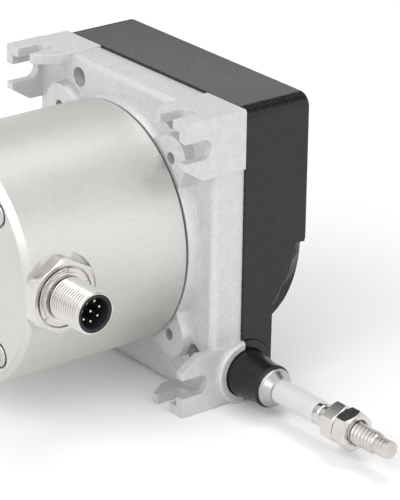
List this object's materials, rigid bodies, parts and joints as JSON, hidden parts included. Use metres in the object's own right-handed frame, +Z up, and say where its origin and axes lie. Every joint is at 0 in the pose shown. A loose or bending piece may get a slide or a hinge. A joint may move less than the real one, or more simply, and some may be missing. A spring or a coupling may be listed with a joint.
{
  "type": "draw wire encoder",
  "caption": "Draw wire encoder: cast housing with slotted corner ears, round encoder with a round connector, black spring cover and a wire with a threaded end.",
  "frame": {"origin": "base plane (Z = 0), on the split plane between housing and cover (X = 0), midway between the side faces (Y = 0)", "axes": "+X along the drum axis towards the spring cover, -X towards the encoder, -Y the way the wire leaves, +Z up from the base"},
  "size_m": [0.0884, 0.144, 0.085],
  "materials": {
    "cast_metal": "matte blasted casting",
    "cover_plastic": "moulded, finely textured",
    "screw_steel": "zinc plated",
    "can_metal": "fine turned, clear coated",
    "plain_aluminium": "machined",
    "seal_rubber": "matte",
    "board_green": "solder mask",
    "black_plastic": "moulded",
    "plain_brass": "turned",
    "nickel": "nickel plated",
    "gold": "gold plated",
    "gland_plastic": "semi-gloss moulding",
    "polished_steel": "polished",
    "guide_ceramic": "glazed",
    "bearing_steel": "ground",
    "spring_steel": "tempered",
    "wire_steel": "stranded",
    "disc_glass": "clear with an etched track",
    "end_steel": "bright turned",
    "sleeve_plastic": "matte moulding"
  },
  "bodies": {
    "body": {"housing": "cast_metal", "spring_cover": "cover_plastic", "cover_screws": "screw_steel", "encoder_can": "can_metal", "encoder_end_cap": "can_metal", "encoder_flange": "plain_aluminium", "encoder_seal": "seal_rubber", "flange_screws": "screw_steel", "tie_bolts": "screw_steel", "sensor_board": "board_green", "optical_reader": "black_plastic", "board_standoffs": "plain_brass", "board_screws": "screw_steel", "connector_nut": "nickel", "connector_ring": "nickel", "connector_shell": "nickel", "connector_insert": "black_plastic", "contact_pins": "gold", "wire_gland": "gland_plastic", "wire_nozzle": "polished_steel", "wire_guide": "guide_ceramic", "drum_front_bearing_outer": "bearing_steel", "drum_rear_bearing_outer": "bearing_steel", "encoder_bearings_outer": "bearing_steel", "spring_cassette": "black_plastic", "spiral_spring": "spring_steel"},
    "drum_rotor": {"wire_drum": "plain_aluminium", "wire_winding": "wire_steel", "drum_shaft": "bearing_steel", "retaining_ring": "spring_steel", "drum_front_bearing_inner": "bearing_steel", "drum_rear_bearing_inner": "bearing_steel", "encoder_bearings_inner": "bearing_steel", "spring_arbor": "plain_aluminium", "encoder_shaft": "bearing_steel", "code_disc": "disc_glass"},
    "wire_end": {"wire_ferrule": "end_steel", "stop_sleeve": "sleeve_plastic", "threaded_stud": "end_steel", "lock_nut": "end_steel", "draw_wire": "wire_steel"}
  },
  "joints": [
    {"name": "drum_spin", "type": "hinge", "parent": "body", "child": "drum_rotor", "pos_m": [0, 0, 0.0436], "axis": [-1, 0, 0], "range_deg": [0, 4911], "stiffness_Nm_per_rad": 0.0012, "springref_deg": -11459.16},
    {"name": "wire_slide", "type": "slide", "parent": "body", "child": "wire_end", "axis": [0, -1, 0], "range_m": [0, 3], "deforming": ["draw_wire"]}
  ],
  "couplings": [
    {"joint": "wire_slide", "follows": "drum_spin", "m_per_rad": 0.035}
  ]
}
